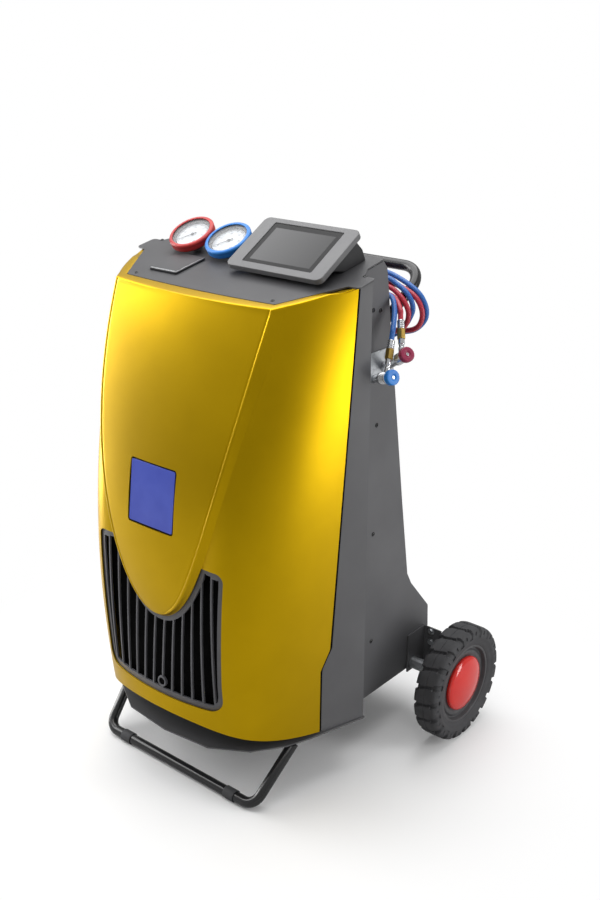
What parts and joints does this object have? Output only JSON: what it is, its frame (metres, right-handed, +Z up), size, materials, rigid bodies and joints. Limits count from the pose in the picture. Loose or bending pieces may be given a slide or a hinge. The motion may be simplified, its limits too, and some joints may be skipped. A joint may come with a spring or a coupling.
{
  "type": "air conditioning recharge station",
  "caption": "Wheeled cabinet for recovering and recharging vehicle air conditioning refrigerant, with sloping control plate, gauges, display, printer and two service hoses.",
  "frame": {"origin": "on the floor under the middle of the whole station's bounding box", "axes": "+Z up, -Y towards the moulded front, +X towards the couplers"},
  "size_m": [0.81, 0.6864, 1.1386],
  "materials": {
    "yellow_moulding": "satin",
    "grey_powder_coat": "fine texture",
    "plate_paint": "satin",
    "black_plastic": "matte",
    "gloss_black_tube": "gloss",
    "grille_grey": "satin",
    "badge_blue": "gloss",
    "bezel_grey": "satin",
    "screen_glass": "gloss",
    "zinc_steel": "satin",
    "tyre_rubber": "matte",
    "cap_red": "gloss",
    "brass": "satin",
    "red_rubber": "satin",
    "blue_rubber": "satin",
    "dial_white": "matte",
    "gauge_glass": "gloss",
    "red_hose": "satin",
    "blue_hose": "satin",
    "paper": "matte",
    "tank_enamel": "satin"
  },
  "bodies": {
    "station": {"base_tray": "grey_powder_coat", "front_panel": "yellow_moulding", "badge_plate": "badge_blue", "badge_mount": "black_plastic", "front_grille": "grille_grey", "left_column": "grey_powder_coat", "right_column": "grey_powder_coat", "left_side_panel": "grey_powder_coat", "right_side_panel": "grey_powder_coat", "rear_panel": "grey_powder_coat", "control_plate": "plate_paint", "printer_body": "black_plastic", "red_gauge_boot": "red_rubber", "red_gauge_case": "black_plastic", "red_gauge_dial": "dial_white", "red_gauge_glass": "gauge_glass", "blue_gauge_boot": "blue_rubber", "blue_gauge_case": "black_plastic", "blue_gauge_dial": "dial_white", "blue_gauge_glass": "gauge_glass", "display_bezel": "bezel_grey", "display_screen": "screen_glass", "display_housing": "black_plastic", "push_handle": "gloss_black_tube", "foot_stand": "gloss_black_tube", "left_foot_sleeve": "black_plastic", "right_foot_sleeve": "black_plastic", "axle": "zinc_steel", "left_axle_bracket": "grey_powder_coat", "right_axle_bracket": "grey_powder_coat", "coupler_bracket": "zinc_steel", "blue_coupler": "zinc_steel", "red_coupler": "zinc_steel", "blue_hose_fitting": "brass", "red_hose_fitting": "brass", "hose_outlets": "brass", "red_hose": "red_hose", "blue_hose": "blue_hose", "hose_hook": "gloss_black_tube", "mains_inlet": "black_plastic", "scale_platform": "zinc_steel", "vacuum_pump": "tank_enamel", "condenser": "zinc_steel", "fan_shroud": "grey_powder_coat", "manifold_block": "zinc_steel", "refrigerant_tank": "tank_enamel", "paper_roll": "paper"},
    "left_wheel": {"left_tyre": "tyre_rubber", "left_rim": "black_plastic", "left_wheel_cap": "cap_red"},
    "right_wheel": {"right_tyre": "tyre_rubber", "right_rim": "black_plastic", "right_wheel_cap": "cap_red"},
    "lid": {"printer_lid": "plate_paint"},
    "red_needle": {"red_gauge_needle": "black_plastic"},
    "blue_needle": {"blue_gauge_needle": "black_plastic"},
    "blue_knob": {"blue_coupler_knob": "blue_rubber"},
    "red_knob": {"red_coupler_knob": "red_rubber"},
    "fan": {"fan_rotor": "black_plastic"},
    "rocker": {"power_switch": "cap_red"}
  },
  "joints": [
    {"name": "left_wheel_turn", "type": "hinge", "parent": "station", "child": "left_wheel", "pos_m": [-0.3715, 0.21322, 0.13], "axis": [-1, 0, 0], "continuous": true},
    {"name": "right_wheel_turn", "type": "hinge", "parent": "station", "child": "right_wheel", "pos_m": [0.3715, 0.21322, 0.13], "axis": [1, 0, 0], "continuous": true},
    {"name": "printer_lid_hinge", "type": "hinge", "parent": "station", "child": "lid", "pos_m": [-0.1287, -0.06916, 1.0572], "axis": [-1, 0, 0], "range_deg": [0, 50]},
    {"name": "red_needle_turn", "type": "hinge", "parent": "station", "child": "red_needle", "pos_m": [-0.163, -0.03288, 1.09175], "axis": [0, 0.5, -0.866], "range_deg": [0, 270]},
    {"name": "blue_needle_turn", "type": "hinge", "parent": "station", "child": "blue_needle", "pos_m": [-0.061, -0.03288, 1.09175], "axis": [0, 0.5, -0.866], "range_deg": [0, 270]},
    {"name": "blue_knob_turn", "type": "hinge", "parent": "station", "child": "blue_knob", "pos_m": [0.335, -0.01078, 0.8805], "axis": [0.9099, -0.2831, 0.3033], "range_deg": [0, 720]},
    {"name": "red_knob_turn", "type": "hinge", "parent": "station", "child": "red_knob", "pos_m": [0.335, 0.03322, 0.916], "axis": [0.7847, -0.3622, 0.503], "range_deg": [0, 720]},
    {"name": "fan_turn", "type": "hinge", "parent": "station", "child": "fan", "pos_m": [0, -0.20198, 0.28], "axis": [0, 1, 0], "continuous": true},
    {"name": "switch_rock", "type": "hinge", "parent": "station", "child": "rocker", "pos_m": [-0.103, 0.2333, 0.29519], "axis": [0, -0.6455, 0.7637], "range_deg": [-8, 8]}
  ]
}
